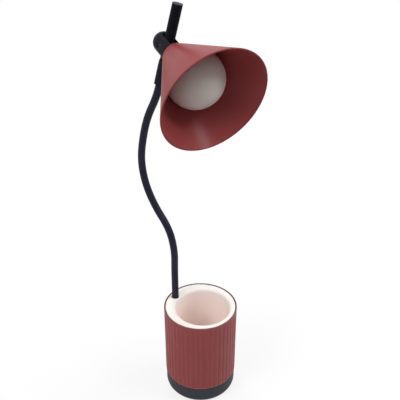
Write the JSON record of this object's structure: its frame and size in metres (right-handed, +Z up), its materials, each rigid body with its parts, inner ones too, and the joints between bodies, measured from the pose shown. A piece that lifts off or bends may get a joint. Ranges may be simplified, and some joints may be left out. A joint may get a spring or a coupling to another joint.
{
  "type": "desk lamp with pen holder",
  "caption": "Desk lamp: a fluted cup on a weighted base holds pens, and a gooseneck rises from its rim to a cone shade over a round globe, tilting on a straight arm.",
  "frame": {"origin": "centre of the foot pad's lower face, where the lamp stands", "axes": "+Z up, +X to the right and -Y towards the viewer of the picture; the neck leaves the rim at the back left and the shade looks down to the front right"},
  "size_m": [0.1288, 0.1289, 0.4614],
  "materials": {
    "maroon_shell": "satin, fluted",
    "shade_red": "smooth satin",
    "white_plastic": "soft gloss, faintly warm",
    "white_board": "white solder mask",
    "charcoal_plastic": "fine satin",
    "black_rubber": "matte",
    "steel": "bright, zinc-plated",
    "cell_wrap": "wrapped in blue film",
    "green_board": "solder mask",
    "black_paint": "satin powder coat",
    "black_steel": "blackened",
    "milky_plastic": "milky diffuser",
    "neck_silicone": "smooth, soft sheen"
  },
  "bodies": {
    "base": {"ribbed_shell": "maroon_shell", "cup_liner": "white_plastic", "base_cap": "charcoal_plastic", "battery_cradle": "charcoal_plastic", "switch_body": "charcoal_plastic", "foot_pad": "black_rubber", "counterweight": "steel", "base_screw_1": "steel", "base_screw_2": "steel", "base_screw_3": "steel", "board_screw_left": "steel", "board_screw_right": "steel", "charging_socket": "steel", "neck_collar": "steel", "neck_grub_screw": "steel", "battery_cell": "cell_wrap", "control_board": "green_board", "gooseneck_link_01": "neck_silicone"},
    "neck_02": {"gooseneck_link_02": "neck_silicone"},
    "neck_03": {"gooseneck_link_03": "neck_silicone"},
    "neck_04": {"gooseneck_link_04": "neck_silicone"},
    "neck_05": {"gooseneck_link_05": "neck_silicone"},
    "neck_06": {"gooseneck_link_06": "neck_silicone"},
    "neck_07": {"gooseneck_link_07": "neck_silicone"},
    "neck_08": {"gooseneck_link_08": "neck_silicone"},
    "neck_09": {"gooseneck_link_09": "neck_silicone"},
    "neck_10": {"gooseneck_link_10": "neck_silicone"},
    "arm": {"arm_sleeve": "black_paint", "arm_tube": "black_paint", "tube_plug": "charcoal_plastic"},
    "head": {"hub": "black_paint", "pivot_screw": "black_steel", "pivot_nut": "black_steel", "lampshade": "shade_red", "shade_ring": "charcoal_plastic", "lamp_holder": "white_plastic", "light_board": "white_board", "globe": "milky_plastic"},
    "button": {"power_button": "charcoal_plastic"}
  },
  "joints": [
    {"name": "neck_bend_01", "type": "hinge", "parent": "base", "child": "neck_02", "pos_m": [-0.0298, 0.01552, 0.14605], "axis": [0.7071, 0.7037, 0.0697], "range_deg": [-18, 18]},
    {"name": "neck_bend_02", "type": "hinge", "parent": "neck_02", "child": "neck_03", "pos_m": [-0.02945, 0.0124, 0.17398], "axis": [0.7067, -0.6998, -0.1044], "range_deg": [-18, 18]},
    {"name": "neck_bend_03", "type": "hinge", "parent": "neck_03", "child": "neck_04", "pos_m": [-0.03187, 0.01172, 0.20186], "axis": [0.7056, 0.7032, 0.087], "range_deg": [-18, 18]},
    {"name": "neck_bend_04", "type": "hinge", "parent": "neck_04", "child": "neck_05", "pos_m": [-0.04245, 0.01895, 0.22646], "axis": [0.4709, -0.5633, 0.6789], "range_deg": [-18, 18]},
    {"name": "neck_bend_05", "type": "hinge", "parent": "neck_05", "child": "neck_06", "pos_m": [-0.05542, 0.02899, 0.24918], "axis": [0.7111, 0.6984, 0.0811], "range_deg": [-18, 18]},
    {"name": "neck_bend_06", "type": "hinge", "parent": "neck_06", "child": "neck_07", "pos_m": [-0.06272, 0.03423, 0.27566], "axis": [0.678, -0.7186, 0.1547], "range_deg": [-18, 18]},
    {"name": "neck_bend_07", "type": "hinge", "parent": "neck_07", "child": "neck_08", "pos_m": [-0.06281, 0.0334, 0.30361], "axis": [0.7226, 0.6913, 0.0053], "range_deg": [-18, 18]},
    {"name": "neck_bend_08", "type": "hinge", "parent": "neck_08", "child": "neck_09", "pos_m": [-0.05784, 0.0287, 0.33084], "axis": [0.6606, -0.6909, -0.2939], "range_deg": [-18, 18]},
    {"name": "neck_bend_09", "type": "hinge", "parent": "neck_09", "child": "neck_10", "pos_m": [-0.04908, 0.02251, 0.35677], "axis": [0.6892, 0.7163, -0.1091], "range_deg": [-18, 18]},
    {"name": "neck_bend_10", "type": "hinge", "parent": "neck_10", "child": "arm", "pos_m": [-0.04009, 0.01923, 0.38306], "axis": [0.7066, -0.6891, -0.1609], "range_deg": [-18, 18]},
    {"name": "head_tilt", "type": "hinge", "parent": "arm", "child": "head", "pos_m": [-0.03143, 0.01981, 0.41862], "axis": [-0.804, -0.5582, 0.2051], "range_deg": [-6, 28]},
    {"name": "button_press", "type": "slide", "parent": "base", "child": "button", "axis": [-0.309, -0.9511, 0], "range_m": [0, 0.0006], "stiffness_N_per_m": 1500}
  ]
}
